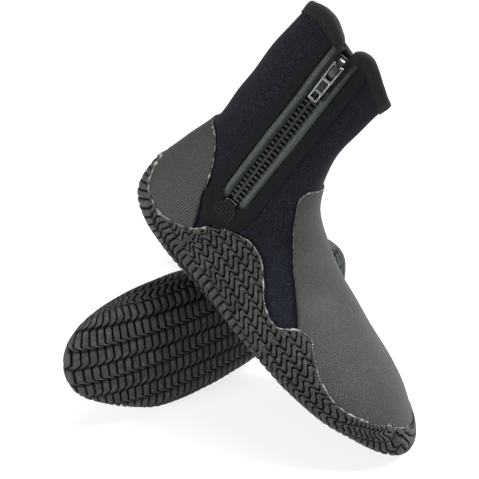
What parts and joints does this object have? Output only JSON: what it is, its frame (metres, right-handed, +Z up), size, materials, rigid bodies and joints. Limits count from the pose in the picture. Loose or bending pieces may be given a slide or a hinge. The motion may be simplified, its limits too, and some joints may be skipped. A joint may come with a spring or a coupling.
{
  "type": "neoprene boots",
  "caption": "Ankle-high neoprene water boots with a side zip, wrapped rubber outsole and twill overlays; one lies on its side and the other leans on it.",
  "frame": {"origin": "on the floor, under the middle of the pair's bounding box", "axes": "+Z up, +Y away from the side that shows the left boot's zip, +X towards the leaning boot's collar"},
  "size_m": [0.2724, 0.3558, 0.3184],
  "materials": {
    "jersey": "matt knitted nylon jersey bonded to neoprene foam",
    "twill_rubber": "rubberised twill with fine diagonal ribs",
    "sole_rubber": "moulded rubber with a herringbone tread",
    "binding_tape": "folded elastic tape, sewn",
    "zip_webbing": "dense woven band",
    "zip_tape": "woven zip tape",
    "zip_teeth": "moulded acetal",
    "gunmetal": "black enamelled zinc",
    "smooth_skin": "smooth-skin neoprene",
    "footbed_foam": "foam insole covered in jersey"
  },
  "bodies": {
    "right_boot": {"right_outsole": "sole_rubber", "right_bottom_panel": "jersey", "right_footbed": "footbed_foam", "right_front_inner_panel": "jersey", "right_front_outer_panel": "jersey", "right_rear_inner_panel": "jersey", "right_rear_outer_panel": "jersey", "right_vamp_overlay": "twill_rubber", "right_heel_overlay": "twill_rubber", "right_collar_binding": "binding_tape", "right_zip_band": "zip_webbing", "right_zip_patch": "zip_webbing", "right_water_flap": "smooth_skin", "right_zip_tape_front": "zip_tape", "right_zip_tape_rear": "zip_tape", "right_zip_teeth_front": "zip_teeth", "right_zip_teeth_rear": "zip_teeth", "right_zip_top_stop_front": "gunmetal", "right_zip_top_stop_rear": "gunmetal", "right_zip_bottom_stop": "gunmetal"},
    "right_slider": {"right_zip_slider": "gunmetal"},
    "right_pull": {"right_zip_pull": "gunmetal"},
    "left_boot": {"left_outsole": "sole_rubber", "left_bottom_panel": "jersey", "left_footbed": "footbed_foam", "left_front_inner_panel": "jersey", "left_front_outer_panel": "jersey", "left_rear_inner_panel": "jersey", "left_rear_outer_panel": "jersey", "left_vamp_overlay": "twill_rubber", "left_heel_overlay": "twill_rubber", "left_collar_binding": "binding_tape", "left_zip_band": "zip_webbing", "left_zip_patch": "zip_webbing", "left_water_flap": "smooth_skin", "left_zip_tape_front": "zip_tape", "left_zip_tape_rear": "zip_tape", "left_zip_teeth_front": "zip_teeth", "left_zip_teeth_rear": "zip_teeth", "left_zip_top_stop_front": "gunmetal", "left_zip_top_stop_rear": "gunmetal", "left_zip_bottom_stop": "gunmetal"},
    "left_slider": {"left_zip_slider": "gunmetal"},
    "left_pull": {"left_zip_pull": "gunmetal"}
  },
  "joints": [
    {"name": "left_boot_lift", "type": "slide", "parent": "right_boot", "child": "left_boot", "axis": [0, 0, 1], "range_m": [0, 0.35]},
    {"name": "right_zip_slide", "type": "slide", "parent": "right_boot", "child": "right_slider", "axis": [0.5223, -0.8259, 0.2124], "range_m": [0, 0.103], "deforming": ["right_zip_teeth_front", "right_zip_teeth_rear"]},
    {"name": "right_pull_swing", "type": "hinge", "parent": "right_slider", "child": "right_pull", "pos_m": [-0.04729, 0.14503, 0.05416], "axis": [-0.8407, -0.5404, -0.0337], "range_deg": [0, 170]},
    {"name": "left_zip_slide", "type": "slide", "parent": "left_boot", "child": "left_slider", "axis": [-0.5871, -0.0558, -0.8076], "range_m": [0, 0.103], "deforming": ["left_zip_teeth_front", "left_zip_teeth_rear"]},
    {"name": "left_pull_swing", "type": "hinge", "parent": "left_slider", "child": "left_pull", "pos_m": [0.06123, -0.102, 0.28676], "axis": [-0.7831, 0.2921, 0.5491], "range_deg": [0, 170]}
  ]
}
